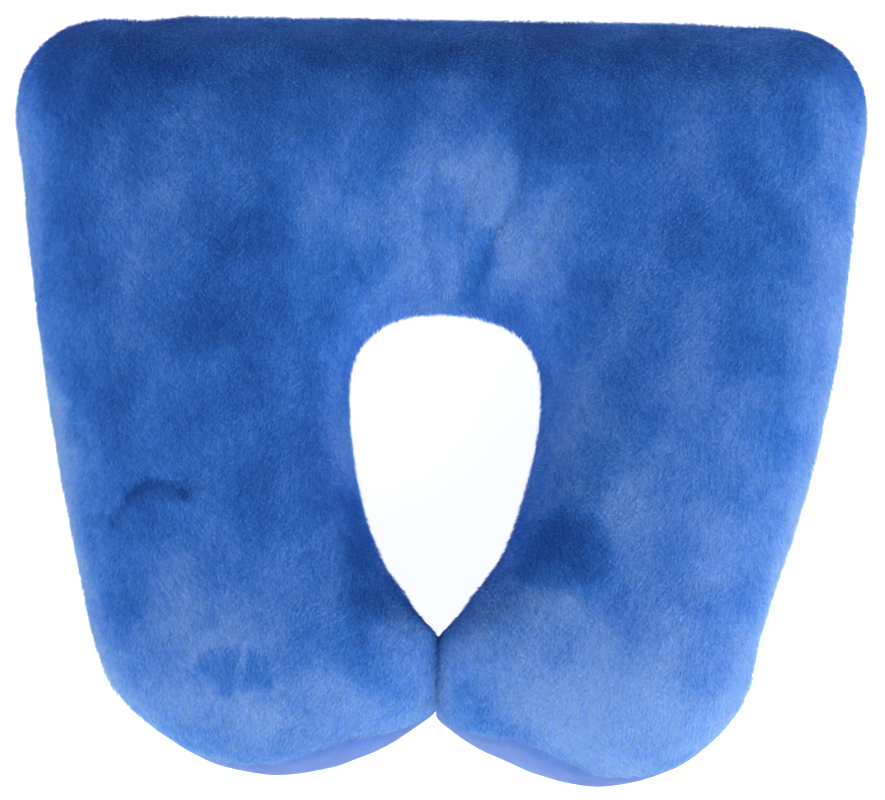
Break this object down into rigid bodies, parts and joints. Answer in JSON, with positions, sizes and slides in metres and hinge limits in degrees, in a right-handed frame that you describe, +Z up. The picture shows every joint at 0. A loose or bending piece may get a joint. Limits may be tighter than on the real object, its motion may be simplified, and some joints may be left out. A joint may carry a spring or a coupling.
{
  "type": "u shaped neck pillow",
  "caption": "U shaped travel neck pillow with a plush top, a smooth jersey base, a zipped cover and a stuffed inner case.",
  "frame": {"origin": "on the surface the pillow lies on, under the middle of its bounding box", "axes": "+Z up out of the plush top, +Y towards the back of the neck, -Y towards the two tips, +X along the width"},
  "size_m": [0.35, 0.3304, 0.095],
  "materials": {
    "blue_plush": "matte",
    "blue_jersey": "satin",
    "white_lining": "matte",
    "white_fibre": "matte",
    "zip_tape": "matte",
    "zip_coil": "satin",
    "zip_metal": "gloss",
    "label_satin": "satin"
  },
  "bodies": {
    "back": {"plush_panel_back": "blue_plush", "base_panel_back": "blue_jersey", "inner_case_back": "white_lining", "fill_back": "white_fibre", "zip_tape_upper": "zip_tape", "zip_tape_lower": "zip_tape", "zip_coil_upper": "zip_coil", "zip_coil_lower": "zip_coil", "zip_top_stops": "zip_metal", "zip_bottom_stop": "zip_metal", "care_label": "label_satin"},
    "arm_left": {"plush_panel_left_arm": "blue_plush", "base_panel_left_arm": "blue_jersey", "inner_case_left_arm": "white_lining", "fill_left_arm": "white_fibre"},
    "arm_right": {"plush_panel_right_arm": "blue_plush", "base_panel_right_arm": "blue_jersey", "inner_case_right_arm": "white_lining", "fill_right_arm": "white_fibre"},
    "zip_slider": {"zip_slider": "zip_metal"},
    "zip_pull": {"zip_pull": "zip_metal"}
  },
  "joints": [
    {"name": "arm_left_opens", "type": "hinge", "parent": "back", "child": "arm_left", "pos_m": [-0.1615, -0.0022, 0.0475], "axis": [0, 0, -1], "range_deg": [0, 20], "stiffness_Nm_per_rad": 3},
    {"name": "arm_right_opens", "type": "hinge", "parent": "back", "child": "arm_right", "pos_m": [0.1615, -0.0022, 0.0475], "axis": [0, 0, 1], "range_deg": [0, 20], "stiffness_Nm_per_rad": 3},
    {"name": "slider_runs", "type": "slide", "parent": "back", "child": "zip_slider", "axis": [-1, 0, 0], "range_m": [0, 0.173]},
    {"name": "pull_flips", "type": "hinge", "parent": "zip_slider", "child": "zip_pull", "pos_m": [0.0866, 0.1635, 0.038], "axis": [0, 0, -1], "range_deg": [0, 160]}
  ]
}
